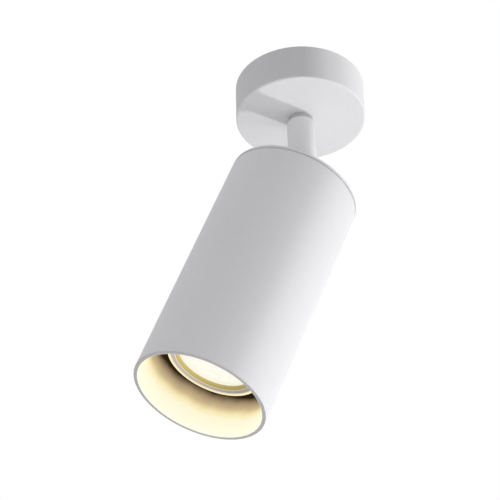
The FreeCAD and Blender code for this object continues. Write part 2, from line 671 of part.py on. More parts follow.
def stem_bush():
    inside = "(neck_radius + running_clearance)"
    flange_top = f"({CANOPY_INNER_FLOOR} - bush_flange)"
    return turned("stem_bush", [
        (inside, "-canopy_depth"), (BUSH_RADIUS, "-canopy_depth"), (BUSH_RADIUS, f"-{CANOPY_INNER_FLOOR}"),
        ("bush_flange_radius", f"-{CANOPY_INNER_FLOOR}"), ("bush_flange_radius", f"-{flange_top}"),
        (inside, f"-{flange_top}")])


def rotation_stop_pin():
    top = f"({SPRING_LEVEL} + small_gap)"
    return cylinder("rotation_stop_pin", "stop_pin_radius", f"{CANOPY_INNER_FLOOR} + stop_pin_seat - {top}",
                    x=f"-{STOP_PIN_PLACE}", z=f"-({CANOPY_INNER_FLOOR} + stop_pin_seat)")


def supply_leads():
    """From the terminals and the bracket's earth to just above the stem's bore."""
    level = -value(INSERT_LEVEL)
    bottom = -value(f"({NECK_TOP} - lead_end)")
    bend = min(value("lead_bend"), level - bottom - value("small_gap"))
    radius = value("lead_radius")
    pitch = value("terminal_pitch") / 2
    far = value(f"{BLOCK_NEAR} + terminal_block_depth * {LEAD_IN_BLOCK}")
    turn_place = value(f"{BLOCK_NEAR} - lead_turn")
    shapes = []
    for (x, y), start in zip(lead_spots(), (-pitch, pitch)):
        shapes.append(lead([(start, far, level), (start, turn_place, level), (x, y, level), (x, y, bottom)],
                           radius, bend))
    x, y = lead_spots()[2]
    ring = -value("bracket_plate + ring_barrel_radius")
    start = -value("earth_screw_offset - ring_terminal_radius - 2 * small_gap")
    leave = start + value("ring_barrel_length") + bend * math.tan(math.radians(45) / 2)
    shapes.append(lead([(x, start, ring), (x, leave, ring), (x, leave + ring - level, level), (x, y, level),
                        (x, y, bottom)], radius, bend))
    return shape_node("supply_leads", Part.makeCompound(shapes))


# ---- stem ----------------------------------------------------------------------------------------

def stem_tube():
    """Hollow stem: a neck and a collar above, two flats and a fork round the tilt axis below."""
    neck = cylinder("stem_neck", "neck_radius", f"{SHOULDER} - {NECK_TOP}", z=f"-{SHOULDER}")
    collar = cylinder("stem_collar", "collar_radius", f"{SHOULDER} - {COLLAR}", z=f"-{SHOULDER}")
    shaft = cylinder("stem_shaft", "stem_radius", f"pivot_drop - {SHOULDER}", z="-pivot_drop")
    below = cylinder("stem_below", "stem_radius", "stem_radius", z="-(pivot_drop + stem_radius)")
    across = cylinder("stem_heel", "stem_radius", "2 * stem_radius", ALONG_Y,
                      y="-stem_radius", z="-pivot_drop")
    blank = fuse("stem_blank", neck, collar, shaft, common("stem_end", below, across))
    low = "-(pivot_drop + 2 * stem_radius)"
    flats = [box(f"stem_flat_{side}", "4 * stem_radius", "stem_radius", f"2 * stem_radius + {FOOT_FLAT}",
                 x="-2 * stem_radius", y=place, z=low)
             for side, place in (("near", "-(foot_thickness / 2 + stem_radius)"),
                                 ("far", "foot_thickness / 2"))]
    fork = box("stem_fork", "4 * stem_radius", "foot_slot", "2 * stem_radius + foot_slot_rise",
               x="-2 * stem_radius", y="-foot_slot / 2", z=low)
    bore_end = f"(pivot_drop - {FOOT_FLAT} - bore_end)"
    bore = cylinder("stem_bore", "stem_bore_radius", f"{bore_end} - {NECK_TOP}", z=f"-{bore_end}")
    narrow = cylinder("stem_narrow_bore", "foot_slot / 2", f"pivot_drop - {NECK_TOP}", z="-pivot_drop")
    pivot = cylinder("stem_pivot_hole", "pivot_nose_radius + running_clearance", "2 * stem_radius", ALONG_Y,
                     y="-stem_radius", z="-pivot_drop")
    return cut("stem_tube", blank, *flats, fork, bore, narrow, pivot)


def stop_washer():
    disc = cylinder("stop_disc", "stop_washer_radius", "stop_washer_plate", z=f"-{WASHER_LEVEL}")
    tab = box("stop_tab", "stop_tab_reach - neck_radius", "stop_tab_width", "stop_washer_plate",
              x="neck_radius", y="-stop_tab_width / 2", z=f"-{WASHER_LEVEL}")
    hole = cylinder("stop_hole", "neck_radius", "stop_washer_plate", z=f"-{WASHER_LEVEL}")
    return cut("stop_washer", fuse("stop_blank", disc, tab), hole)


def spring_washer():
    split = box("spring_split", "spring_washer_radius", "spring_washer_split", "spring_washer_plate",
                y="-spring_washer_split / 2", z=f"-{SPRING_LEVEL}")
    ring = washer("spring_ring", "spring_washer_radius", "neck_radius", "spring_washer_plate",
                  z=f"-{SPRING_LEVEL}")
    return cut("spring_washer", ring, split)


def stem_nut():
    blank = hexagon("nut_blank", "nut_flats", "nut_height", z=f"-{NUT_LEVEL}")
    hole = cylinder("nut_hole", "neck_radius", "nut_height", z=f"-{NUT_LEVEL}")
    return cut("stem_nut", blank, hole)


def stem_leads():
    rods = []
    for name, (x, y) in zip(("live", "neutral", "earth"), LEAD_PLACES):
        rods.append(cylinder(f"stem_lead_{name}", "lead_radius", f"pivot_drop - lead_gap - {NECK_TOP}",
                             x=x, y=y, z="-(pivot_drop - lead_gap)"))
    return group("stem_leads", *rods)


# ---- head, in its own frame ----------------------------------------------------------------------

def knuckle_scoop():
    """What the block's open side gives up, so that the stem's round part can swing past it."""
    reach = "2 * knuckle_radius"
    side = box("scoop_side", reach, f"2 * {reach}", f"{SWING_RADIUS} + {reach}", x=f"-{reach}",
               y=f"-{reach}", z=f"-{SWING_RADIUS}")
    round_part = cylinder("scoop_round", "knuckle_scoop_radius", f"2 * {reach}", ALONG_Y, y=f"-{reach}")
    below = box("scoop_below", "knuckle_scoop_radius", f"2 * {reach}", SWING_RADIUS,
                x="-knuckle_scoop_radius", y=f"-{reach}", z=f"-{SWING_RADIUS}")
    return cut("knuckle_scoop", side, round_part, below)


def knuckle_block():
    bottom = f"-{CAP_TOP}"
    blank = turned("knuckle_blank", [
        ("0", bottom), ("knuckle_radius", bottom), ("knuckle_radius", "knuckle_rise - knuckle_chamfer"),
        ("knuckle_radius - knuckle_chamfer", "knuckle_rise"), ("0", "knuckle_rise")])
    slot = box("knuckle_slot", f"2 * knuckle_radius + {SWING_RADIUS}", f"2 * {SLOT_HALF}",
               f"{SWING_RADIUS} + 2 * knuckle_rise",
               x="-2 * knuckle_radius", y=f"-{SLOT_HALF}", z=f"-{SWING_RADIUS}")
    threads = cylinder("pivot_threads", "pivot_thread_radius", "4 * knuckle_radius", ALONG_Y,
                       y="-2 * knuckle_radius")
    middle = cylinder("knuckle_lead_hole", "lead_hole_radius", CAP_TOP, z=bottom)
    screws = [cylinder(f"knuckle_screw_hole_{side}", "knuckle_screw_radius", "knuckle_screw_reach",
                       y=place, z=bottom)
              for side, place in (("near", "-knuckle_screw_offset"), ("far", "knuckle_screw_offset"))]
    return cut("knuckle_block", blank, slot, knuckle_scoop(), threads, middle, *screws)


def tilt_pivot_screws():
    screws = []
    outer = "(knuckle_radius - pivot_screw_sink)"
    nose_end = "(foot_slot / 2 + pivot_nose_inset)"
    for side, rotation, sign in (("near", ALONG_Y, "-"), ("far", ALONG_MINUS_Y, "")):
        screws.append(nosed_set_screw(
            f"pivot_screw_{side}", "pivot_thread_radius", f"({outer} - {SLOT_HALF})", "pivot_nose_radius",
            f"({SLOT_HALF} - {nose_end})", "pivot_thread_radius", rotation, y=f"{sign}{outer}"))
    return group("tilt_pivot_screws", *screws)


def tilt_friction_washers():
    washers = []
    for side, place in (("near", f"-{SLOT_HALF}"), ("far", f"{SLOT_HALF} - friction_washer_plate")):
        disc = cylinder(f"friction_disc_{side}", "friction_washer_radius", "friction_washer_plate",
                        ALONG_Y, y=place)
        hole = cylinder(f"friction_hole_{side}", "pivot_nose_radius", "friction_washer_plate",
                        ALONG_Y, y=place)
        washers.append(cut(f"friction_washer_{side}", disc, hole))
    return group("tilt_friction_washers", *washers)


def knuckle_fixing_screws():
    reach = f"(knuckle_screw_reach + {CAP_UNDER} - {CAP_TOP} - screw_spare)"
    screws = [headed_screw(f"knuckle_screw_{side}", "knuckle_screw_radius", reach, "screw_head_radius",
                           "screw_head_height", "knuckle_screw_radius", y=place, z=f"-{CAP_UNDER}")
              for side, place in (("near", "-knuckle_screw_offset"), ("far", "knuckle_screw_offset"))]
    return group("knuckle_fixing_screws", *screws)


def end_cap():
    groove = "(tube_drop - shadow_gap)"
    body = turned("end_cap_blank", [
        ("lead_hole_radius", f"-{CAP_TOP}"), ("head_radius", f"-{CAP_TOP}"), ("head_radius", f"-{groove}"),
        ("head_radius - shadow_depth", f"-{groove}"), ("head_radius - shadow_depth", "-tube_drop"),
        (SPIGOT_RADIUS, "-tube_drop"), (SPIGOT_RADIUS, "-(tube_drop + spigot_length)"),
        (f"{SPIGOT_RADIUS} - spigot_wall", "-(tube_drop + spigot_length)"),
        (f"{SPIGOT_RADIUS} - spigot_wall", f"-{CAP_UNDER}"), ("lead_hole_radius", f"-{CAP_UNDER}")])
    radius, top = value("head_radius"), value(CAP_TOP)
    round_edges(body, "cap_upper_round", "cap_round", lambda r, z: near(r, radius) and near(z, -top))
    pocket(body, "knuckle_screw_ways", "XY_Plane", circles=[
        ("0", "-knuckle_screw_offset", "knuckle_screw_radius"),
        ("0", "knuckle_screw_offset", "knuckle_screw_radius")])
    pocket(body, "cap_screw_way", "XZ_Plane", circles=[
        ("0", "-(tube_drop + cap_screw_offset)", "cap_screw_radius")], one_way="head_radius")
    studs = [cylinder(f"stud_way_{n}", "standoff_thread_radius", "standoff_stud", x=place, z=f"-{CAP_UNDER}")
             for n, place in enumerate(("-standoff_offset", "standoff_offset"))]
    earth = cylinder("head_earth_way", "knuckle_screw_radius", "head_earth_thread", **HEAD_EARTH,
                     z=f"-{CAP_UNDER}")
    return cut("end_cap", body, *studs, earth)


def cap_set_screw():
    outer = "(head_radius - set_screw_recess)"
    thread = f"({outer} - {SPIGOT_RADIUS} + spigot_wall - screw_spare - cap_screw_nose)"
    screw = nosed_set_screw("cap_screw", "cap_screw_radius", thread, "set_screw_nose_radius",
                            "cap_screw_nose", "cap_screw_radius", ALONG_MINUS_Y, y=outer,
                            z="-(tube_drop + cap_screw_offset)")
    return group("cap_set_screw", screw)


def head_tube():
    body = turned("head_tube", [
        (TUBE_INSIDE, f"-{MOUTH}"), ("head_radius", f"-{MOUTH}"), ("head_radius", "-tube_drop"),
        (TUBE_INSIDE, "-tube_drop")])
    mouth = value(MOUTH)
    round_edges(body, "mouth_edges", "mouth_round", lambda r, z: near(z, -mouth))
    pocket(body, "tube_screw_way", "XZ_Plane", circles=[
        ("0", "-(tube_drop + cap_screw_offset)", "cap_screw_radius")], one_way="2 * head_radius")
    return body


def bracket_standoffs():
    posts = []
    for side, place in (("left", "-standoff_offset"), ("right", "standoff_offset")):
        post = hexagon(f"standoff_hex_{side}", "standoff_flats", "standoff_length", x=place,
                       z=f"-{BRACKET_BACK}")
        stud = cylinder(f"standoff_stud_{side}", "standoff_thread_radius", "standoff_stud", x=place,
                        z=f"-{CAP_UNDER}")
        hole = cylinder(f"standoff_hole_{side}", "standoff_thread_radius", "standoff_hole", x=place,
                        z=f"-{BRACKET_BACK}")
        posts.append(cut(f"standoff_{side}", fuse(f"standoff_blank_{side}", post, stud), hole))
    return group("bracket_standoffs", *posts)


def lampholder_bracket():
    half = "(standoff_offset + holder_bracket_end)"
    strip = box("bracket_strip", f"2 * {half}", "holder_bracket_width", "holder_bracket_plate",
                x=f"-{half}", y="-holder_bracket_width / 2", z=f"-{HOLDER_BACK}")
    holes = [cylinder("bracket_middle_hole", "holder_bracket_hole", "holder_bracket_plate",
                      z=f"-{HOLDER_BACK}")]
    places = ("-standoff_offset", "standoff_offset", "-holder_screw_offset", "holder_screw_offset")
    for n, place in enumerate(places):
        holes.append(cylinder(f"bracket_hole_{n}", "standoff_thread_radius", "holder_bracket_plate",
                              x=place, z=f"-{HOLDER_BACK}"))
    return cut("lampholder_bracket", strip, *holes)


def bracket_screws():
    reach = "(standoff_hole - screw_spare)"
    screws = [headed_screw(f"bracket_screw_{side}", "standoff_thread_radius", reach, "screw_head_radius",
                           "screw_head_height", "standoff_thread_radius", x=place, z=f"-{HOLDER_BACK}")
              for side, place in (("left", "-standoff_offset"), ("right", "standoff_offset"))]
    return group("bracket_screws", *screws)


def lampholder_body():
    """Ceramic body with a cavity where the pins turn, reached by two keyhole slots."""
    blank = cylinder("holder_blank", "holder_radius", "holder_height", z=f"-{HOLDER_FACE}")
    cavity = cylinder("holder_cavity", "holder_cavity_radius", "holder_cavity_height", z=f"-{CAVITY_FRONT}")
    tools = [cavity]
    wide = "(pin_radius + pin_clearance)"
    for n, start in enumerate((0, 180)):
        ring = []
        for kind, sign in (("outer", "+"), ("inner", "-")):
            radius = f"pin_spacing / 2 {sign} {wide}"
            sector = cylinder(f"keyway_{kind}_{n}", radius, "holder_front", z=f"-{HOLDER_FACE}")
            sector.setExpression("Angle", cells("lock_angle"))
            sector.Placement.Rotation = FreeCAD.Rotation(FreeCAD.Vector(0, 0, 1), start)
            ring.append(sector)
        tools.append(cut(f"keyway_{n}", *ring))
        angle = math.radians(value("lock_angle") + start)
        reach = value("pin_spacing") / 2
        rest = cylinder(f"keyway_rest_{n}", wide, "holder_front", z=f"-{HOLDER_FACE}")
        rest.Placement.Base.x = reach * math.cos(math.radians(start))
        entry = cylinder(f"keyway_entry_{n}", "pin_head_radius + pin_clearance", "holder_front",
                         z=f"-{HOLDER_FACE}")
        entry.Placement.Base.x = reach * math.cos(angle)
        entry.Placement.Base.y = reach * math.sin(angle)
        tools += [rest, entry]
    for n, place in enumerate(("-pin_spacing / 2", "pin_spacing / 2")):
        tools.append(cylinder(f"holder_lead_way_{n}", "lead_radius + running_clearance",
                              f"{CAVITY_BACK} - {HOLDER_BACK}", x=place, z=f"-{CAVITY_BACK}"))
    for n, place in enumerate(("-holder_screw_offset", "holder_screw_offset")):
        tools.append(cylinder(f"holder_thread_{n}", "knuckle_screw_radius", "holder_screw_reach", x=place,
                              z=f"-({HOLDER_BACK} + holder_screw_reach)"))
    return cut("lampholder_body", blank, *tools)


def lampholder_screws():
    reach = "(holder_bracket_plate + holder_screw_reach - screw_spare)"
    screws = [headed_screw(f"lampholder_screw_{side}", "knuckle_screw_radius", reach, "screw_head_radius",
                           "screw_head_height", "knuckle_screw_radius", DOWN, x=place, z=f"-{BRACKET_BACK}")
              for side, place in (("left", "-holder_screw_offset"), ("right", "holder_screw_offset"))]
    return group("lampholder_screws", *screws)


def lampholder_contacts():
    leaves = [box(f"contact_{side}", "contact_width", "contact_width", "contact_plate",
                  x=f"{place} - contact_width / 2", y="-contact_width / 2",
                  z=f"-({CAVITY_BACK} + contact_plate)")
              for side, place in (("left", "-pin_spacing / 2"), ("right", "pin_spacing / 2"))]
    return group("lampholder_contacts", *leaves)


def head_earth():
    level = f"({CAP_UNDER} + ring_terminal_plate)"
    reach = "(ring_terminal_plate + head_earth_thread)"
    screw = headed_screw("cap_earth_screw", "knuckle_screw_radius", reach, "screw_head_radius",
                         "screw_head_height", "knuckle_screw_radius", **HEAD_EARTH, z=f"-{level}")
    ring = ring_terminal("cap_earth_terminal", "knuckle_screw_radius", **HEAD_EARTH, z=f"-{CAP_UNDER}")
    ring.Placement.Rotation = FreeCAD.Rotation(FreeCAD.Vector(0, 0, 1), -135)
    return [group("head_earth_screw", screw), group("head_earth_terminal", ring)]


def head_leads():
    """Live and neutral from the contacts, earth from the cap, all up to just below the tilt axis."""
    radius, bend = value("lead_radius"), value("lead_bend")
    top = -value("lead_gap")
    contact = -value(CAVITY_BACK)
    back = -value(HOLDER_BACK)
    under = -value(CAP_UNDER)
    shapes = []
    for (x, y), start in zip(lead_spots(), (-value("pin_spacing") / 2, value("pin_spacing") / 2)):
        low, high = (back + (under - back) * share for share in LEAD_SLANT)
        shapes.append(lead([(start, 0, contact), (start, 0, low), (x, y, high), (x, y, top)], radius, bend))
    x, y = lead_spots()[2]
    start = value("(head_earth_offset - ring_terminal_radius - 2 * small_gap) / sqrt(2)")
    leave = start - value("ring_barrel_length / sqrt(2)")
    barrel = under - value("ring_barrel_radius")
    shapes.append(lead([(-start, start, barrel), (-leave, leave, barrel), (x, y, barrel), (x, y, top)],
                       radius, bend))
    return shape_node("head_leads", Part.makeCompound(shapes))


# ---- lamp, in the head's frame -------------------------------------------------------------------

def lamp_base():
    inner = "(base_radius - base_wall)"
    floor = f"({LAMP_BASE} + base_floor)"
    body = turned("lamp_base", [
        ("0", f"-{LAMP_BASE}"), ("base_radius - base_chamfer", f"-{LAMP_BASE}"),
        ("base_radius", f"-({LAMP_BASE} + base_chamfer)"), ("base_radius", f"-{BASE_TOP}"),
        (inner, f"-{BASE_TOP}"), (inner, f"-{floor}"), ("0", f"-{floor}")])
    pocket(body, "pin_holes", "XY_Plane", circles=[
        ("-pin_spacing / 2", "0", "pin_radius"), ("pin_spacing / 2", "0", "pin_radius")],
        one_way=BASE_TOP)
    return body


def lamp_pins():
    pins = []
    for side, place in (("left", "-pin_spacing / 2"), ("right", "pin_spacing / 2")):
        shank = cylinder(f"pin_shank_{side}", "pin_radius", "pin_reach + base_floor", x=place,
                         z=f"-({LAMP_BASE} + base_floor)")
        head = cylinder(f"pin_head_{side}", "pin_head_radius", "pin_head_height", x=place,
                        z=f"-({LAMP_BASE} - pin_reach + pin_head_height)")
        pins.append(fuse(f"lamp_pin_{side}", shank, head))
    return group("lamp_pins", *pins)


def lamp_housing():
    """Shell from the base to the bezel, with a web that carries the light source."""
    neck = "(base_radius + housing_wall)"
    flare = f"({HOUSING_END} + housing_neck)"
    rim = f"({flare} + housing_flare)"
    inner = "(lamp_radius - housing_wall)"
    web_back = f"({WEB_FRONT} - housing_web)"
    return turned("lamp_housing", [
        ("base_radius", f"-{HOUSING_END}"), (neck, f"-{HOUSING_END}"), (neck, f"-{flare}"),
        ("lamp_radius", f"-{rim}"), ("lamp_radius", f"-{BEZEL_BACK}"), (inner, f"-{BEZEL_BACK}"),
        (inner, f"-{WEB_FRONT}"), ("web_hole_radius", f"-{WEB_FRONT}"), ("web_hole_radius", f"-{web_back}"),
        (f"{inner} - housing_wall", f"-{web_back}"),
        (f"{inner} - 2 * housing_wall", f"-({web_back} - housing_web)"),
        ("base_radius", f"-({flare} + housing_wall)"), ("base_radius", f"-{BASE_TOP}")])


def lamp_boards():
    """Board with a ring of chips round one in the middle, and the driver's board behind it."""
    board_front = f"({WEB_FRONT} + led_board_plate)"
    board = cut("lamp_led_board",
                cylinder("led_board_disc", LED_BOARD_RADIUS, "led_board_plate", z=f"-{board_front}"),
                cylinder("led_board_hole", "web_hole_radius / 2", "led_board_plate",
                         y=f"{LED_BOARD_RADIUS} * {LED_BOARD_HOLE}", z=f"-{board_front}"))
    turns = [2 * math.pi * n / CHIPS_ROUND for n in range(CHIPS_ROUND)]
    places = [("0", "0")] + [(f"{math.cos(turn):.6f}", f"{math.sin(turn):.6f}") for turn in turns]
    chips = [box(f"led_chip_{n}", "led_chip_size", "led_chip_size", "led_chip_height",
                 x=f"{across} * led_ring_radius - led_chip_size / 2",
                 y=f"{up} * led_ring_radius - led_chip_size / 2", z=f"-({board_front} + led_chip_height)")
             for n, (across, up) in enumerate(places)]
    driver = box("driver_board", "driver_board_width", "driver_board_plate", "driver_board_length",
                 x="-driver_board_width / 2", y="-driver_board_plate / 2",
                 z=f"-({LAMP_BASE} + base_floor + driver_board_length)")
    return [board, group("lamp_led_chips", *chips), group("lamp_driver_board", driver)]


def lamp_reflector():
    front = f"-({BEZEL_BACK} - small_gap)"
    back = f"-({WEB_FRONT} + led_board_plate + small_gap)"
    outer = f"({LENS_RADIUS} - small_gap)"
    return turned("lamp_reflector", [
        ("reflector_throat", back), ("reflector_throat + reflector_wall", back), (outer, front),
        (f"{outer} - reflector_wall", front)])


def lamp_bezel():
    """Front ring: bright lip, a land below it, then a slope down to the lens."""
    lip = "(lamp_radius - bezel_lip_width)"
    land = "(lamp_radius - bezel_lip_width - bezel_land_width)"
    step = f"({LAMP_FACE} - bezel_step_depth)"
    foot = f"({step} - bezel_fall_depth)"
    return turned("lamp_bezel", [
        (BEZEL_BORE, f"-{BEZEL_BACK}"), ("lamp_radius", f"-{BEZEL_BACK}"), ("lamp_radius", f"-{LAMP_FACE}"),
        (lip, f"-{LAMP_FACE}"), (lip, f"-{step}"), (land, f"-{step}"), (BEZEL_BORE, f"-{foot}")])


def lamp_lens():
    """Thin crowned disc inside the bezel."""
    back = cylinder("lens_edge", LENS_RADIUS, "lens_thickness", z=f"-({BEZEL_BACK} + lens_thickness)")
    crown = f"({BEZEL_BACK} + lens_thickness + lens_crown)"
    ball = f"(({LENS_RADIUS}^2 + lens_crown^2) / (2 * lens_crown))"
    sphere = solid("Part::Sphere", "lens_sphere", UP, Radius=ball, z=f"-({crown} - {ball})")
    front = cylinder("lens_front", LENS_RADIUS, "lens_crown", z=f"-{crown}")
    return fuse("lamp_lens", back, common("lens_dome", front, sphere))


# ---- build ---------------------------------------------------------------------------------------

def hang(pieces):
    """Tilts pieces drawn in the head's frame to where the photograph has them."""
    pivot = FreeCAD.Vector(0, 0, -value("pivot_drop"))
    tilt = FreeCAD.Rotation(FreeCAD.Vector(0, 1, 0), value("photo_tilt_angle"))
    for piece in pieces:
        piece.Placement = FreeCAD.Placement(pivot, tilt)
        piece.setExpression(".Placement.Rotation.Angle", "Sizes.photo_tilt_angle * 1 deg")
        bind(piece, z="-pivot_drop")
    return pieces


def write_steps(nodes):
    """Checks every object, then writes one file for each node."""
    for thing in doc.Objects:
        if "Invalid" in thing.State or "Error" in thing.State:
            raise RuntimeError(f"{thing.Name} failed: {thing.State}")
    for node in nodes:
        if node.Shape.isNull() or not node.Shape.isValid() or not node.Shape.Solids:
            raise RuntimeError(f"{node.Label} has no valid solid")
    os.makedirs("parts", exist_ok=True)
    for node in nodes:
        node.Shape.exportStep(f"parts/{node.Label}.step")
        print(node.Label, len(node.Shape.Solids), "solids", round(node.Shape.Volume, 1), "mm3")


base = [mounting_bracket(), canopy_cup(), canopy_set_screws(), *terminal_block(), *bracket_earth(),
        stem_bush(), rotation_stop_pin(), supply_leads()]
stem = [stem_tube(), stop_washer(), spring_washer(), stem_nut(), stem_leads()]
head = [knuckle_block(), tilt_pivot_screws(), tilt_friction_washers(), knuckle_fixing_screws(), end_cap(),
        cap_set_screw(), head_tube(), bracket_standoffs(), lampholder_bracket(), bracket_screws(),
        lampholder_body(), lampholder_screws(), lampholder_contacts(), *head_earth(), head_leads()]
lamp = [lamp_base(), lamp_pins(), lamp_housing(), *lamp_boards(), lamp_reflector(), lamp_bezel(),
        lamp_lens()]
doc.recompute()
hang(head + lamp)
doc.recompute()
write_steps(base + stem + head + lamp)
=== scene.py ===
"""Looks, light and camera of the surface mounted ceiling spotlight. Metres, in the model's own frame."""
import bpy
import math
from mathutils import Matrix, Vector

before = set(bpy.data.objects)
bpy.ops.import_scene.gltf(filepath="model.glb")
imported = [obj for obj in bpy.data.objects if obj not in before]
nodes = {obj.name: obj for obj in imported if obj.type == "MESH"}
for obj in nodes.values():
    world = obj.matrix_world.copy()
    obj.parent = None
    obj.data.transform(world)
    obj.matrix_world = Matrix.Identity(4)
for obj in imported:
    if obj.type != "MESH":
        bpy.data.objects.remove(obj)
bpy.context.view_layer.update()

# ---- places and sizes of the model that the materials and the camera need --------------------------
X, Y, Z = Vector((1, 0, 0)), Vector((0, 1, 0)), Vector((0, 0, 1))
ORIGIN = Vector()
PIVOT = Vector((0, 0, -0.058))
TILT = math.radians(21.4)
HEAD_DOWN = Vector((-math.sin(TILT), 0, -math.cos(TILT)))
HEAD_ACROSS = Vector((math.cos(TILT), 0, -math.sin(TILT)))
# heights
CANOPY_FACE = -0.0222
COLLAR_LEVEL = -0.0260
# along the head's axis, from the pivot
LAMP_FACE = 0.13285
MOUTH = 0.15315
# radii
COLLAR_RADIUS = 0.0065
LENS_RADIUS = 0.0199
LIP_RADIUS = 0.0238
LAMP_RADIUS = 0.0250
TUBE_INSIDE = 0.0328
# a mask changes over between these distances from a modelled edge
NEAR, FAR = 0.0001, 0.0004


# ---- materials ------------------------------------------------------------------------------------
BLACK = (0.0, 0.0, 0.0)
NOISE_LOW, NOISE_HIGH = 0.3, 0.7    # nearly all noise lies between them
COARSE_DETAIL, FINE_DETAIL = 2.0, 3.0
ROUGH_FINER = 1.7                   # roughness drifts at a finer scale than the colour
SHARE, FIRST, SECOND, COLOUR = 0, 6, 7, 2    # sockets of a Mix node that mixes colours


class Surface:
    """A material whose sockets are fed by procedural nodes in object coordinates."""

    def __init__(self, name, **plain):
        self.material = bpy.data.materials.new(name)
        self.material.use_nodes = True
        self.tree = self.material.node_tree
        self.shader = next(n for n in self.tree.nodes if n.type == "BSDF_PRINCIPLED")
        for socket, number in plain.items():
            self.set(socket.replace("_", " "), number)
        self.place = self.node("ShaderNodeTexCoord").outputs["Object"]

    def feed(self, socket, source):
        if isinstance(source, bpy.types.NodeSocket):
            self.tree.links.new(source, socket)
        else:
            socket.default_value = source

    def set(self, socket, source):
        self.feed(self.shader.inputs[socket], source)
        return self

    def node(self, kind, inputs=None, **settings):
        made = self.tree.nodes.new(kind)
        for key, setting in settings.items():
            setattr(made, key, setting)
        for key, source in (inputs or {}).items():
            self.feed(made.inputs[key], source)
        return made

    def noise(self, scale, detail=COARSE_DETAIL, stretch=None):
        """Noise from 0 to 1; stretch squeezes it along the axes."""
        place = self.place
        if stretch:
            place = self.node("ShaderNodeMapping", {"Vector": place, "Scale": stretch}).outputs[0]
        texture = self.node("ShaderNodeTexNoise", {"Vector": place, "Scale": scale, "Detail": detail})
        return texture.outputs[0]

    def math(self, operation, first, second=0.0):
        return self.node("ShaderNodeMath", {0: first, 1: second}, operation=operation).outputs[0]

    def vector_math(self, operation, first, second):
        return self.node("ShaderNodeVectorMath", {0: first, 1: second}, operation=operation)

    def between(self, source, low, high, to_low=0.0, to_high=1.0):
        """Source from low..high to to_low..to_high, clamped."""
        made = self.node("ShaderNodeMapRange", {0: source, 1: low, 2: high, 3: to_low, 4: to_high})
        return made.outputs[0]

    def ramp(self, source, stops):
        """Colours at places from 0 to 1."""
        made = self.node("ShaderNodeValToRGB", {0: source})
        elements = made.color_ramp.elements
        while len(elements) < len(stops):
            elements.new(1.0)
        for element, (place, colour) in zip(elements, stops):
            element.position = place
            element.color = (*colour, 1.0)
        return made.outputs[0]

    def ramp_from(self, source, start, end, stops):
        """Colours at places from start to end, both in the stops' own measure."""
        return self.ramp(source, [((place - start) / (end - start), colour) for place, colour in stops])

    def mix(self, share, first, second):
        made = self.node("ShaderNodeMix", data_type="RGBA")
        for index, source in ((SHARE, share), (FIRST, first), (SECOND, second)):
            if isinstance(source, tuple):
                source = (*source, 1.0)
            self.feed(made.inputs[index], source)
        return made.outputs[COLOUR]

    def dot(self, vector, origin=ORIGIN):
        """How far along a unit vector the point lies, from origin."""
        offset = self.vector_math("SUBTRACT", self.place, origin).outputs[0]
        return self.vector_math("DOT_PRODUCT", offset, vector).outputs["Value"]

    def down_the_head(self):
        return self.dot(HEAD_DOWN, PIVOT)

    def from_axis(self, across, origin=ORIGIN):
        """Distance from the axis through origin that stands square to across and to Y."""
        squares = [self.math("POWER", side, 2.0) for side in (self.dot(across, origin), self.dot(Y))]
        return self.math("SQRT", self.math("ADD", *squares))

    def from_head_axis(self):
        return self.from_axis(HEAD_ACROSS, PIVOT)

    def base_colour(self):
        return self.shader.inputs["Base Color"].links[0].from_socket

    def mottled(self, colours, rough, scale):
        """Base colour and roughness that drift between two values each."""
        self.set("Base Color", self.mix(self.noise(scale, FINE_DETAIL), *colours))
        drift = self.noise(scale * ROUGH_FINER, FINE_DETAIL)
        return self.set("Roughness", self.between(drift, NOISE_LOW, NOISE_HIGH, *rough))

    def bumpy(self, height, depth, strength):
        bump = self.node("ShaderNodeBump", {"Height": height, "Distance": depth, "Strength": strength})
        return self.set("Normal", bump.outputs[0])


# the coat; the canopy's copy is a little lighter than the head's, as painted light
COAT = ((0.742, 0.738, 0.758), (0.774, 0.770, 0.790))
CANOPY_PAINTED_LIGHTER_COAT = ((0.778, 0.774, 0.792), (0.810, 0.806, 0.824))
COAT_ROUGH = (0.48, 0.58)
COAT_SPECULAR = 0.35
COAT_DRIFT, COAT_GRAIN = 260.0, 1500.0     # scales of the noise in the colour and in the bumps
COAT_DEPTH, COAT_BUMP = 0.00002, 0.5       # depth and strength of the bumps


def powder_coat(name, colours=COAT):
    surface = Surface(name, Specular_IOR_Level=COAT_SPECULAR)
    surface.mottled(colours, COAT_ROUGH, COAT_DRIFT)
    return surface.bumpy(surface.noise(COAT_GRAIN), COAT_DEPTH, COAT_BUMP)


def shaded_coat(name, where, shade, colours=COAT):
    """Powder coat with painted shade: darker by the given share where the mask is 1."""
    surface = powder_coat(name, colours)
    plain = surface.base_colour()
    darker = surface.mix(1.0 - shade, BLACK, plain)
    return surface.set("Base Color", surface.mix(where(surface), plain, darker))


# painted shade, as shares: on the stem's collar in its groove under the canopy, and on the canopy's side
# wall
COLLAR_PAINTED_SHADE, WALL_PAINTED_SHADE = 0.35, 0.22
WALL_FROM, WALL_FULL = 0.0003, 0.0012    # above the canopy's face
LIGHTER_FROM, LIGHTER_FULL = 0.0, 0.013  # along X: the painted shade fades towards the canopy's right


def collar_painted_shade_mask(surface):
    """Painted shade on the stem's narrow top, in its groove under the canopy."""
    narrow = surface.between(surface.from_axis(X), COLLAR_RADIUS + FAR, COLLAR_RADIUS + NEAR)
    above = surface.between(surface.dot(Z), COLLAR_LEVEL - NEAR, COLLAR_LEVEL)
    return surface.math("MULTIPLY", narrow, above)


def wall_painted_shade_mask(surface):
    """Painted shade on the canopy's side wall, less towards its right."""
    wall = surface.between(surface.dot(Z), CANOPY_FACE + WALL_FROM, CANOPY_FACE + WALL_FULL)
    return surface.math("MULTIPLY", wall, surface.between(surface.dot(X), LIGHTER_FULL, LIGHTER_FROM))


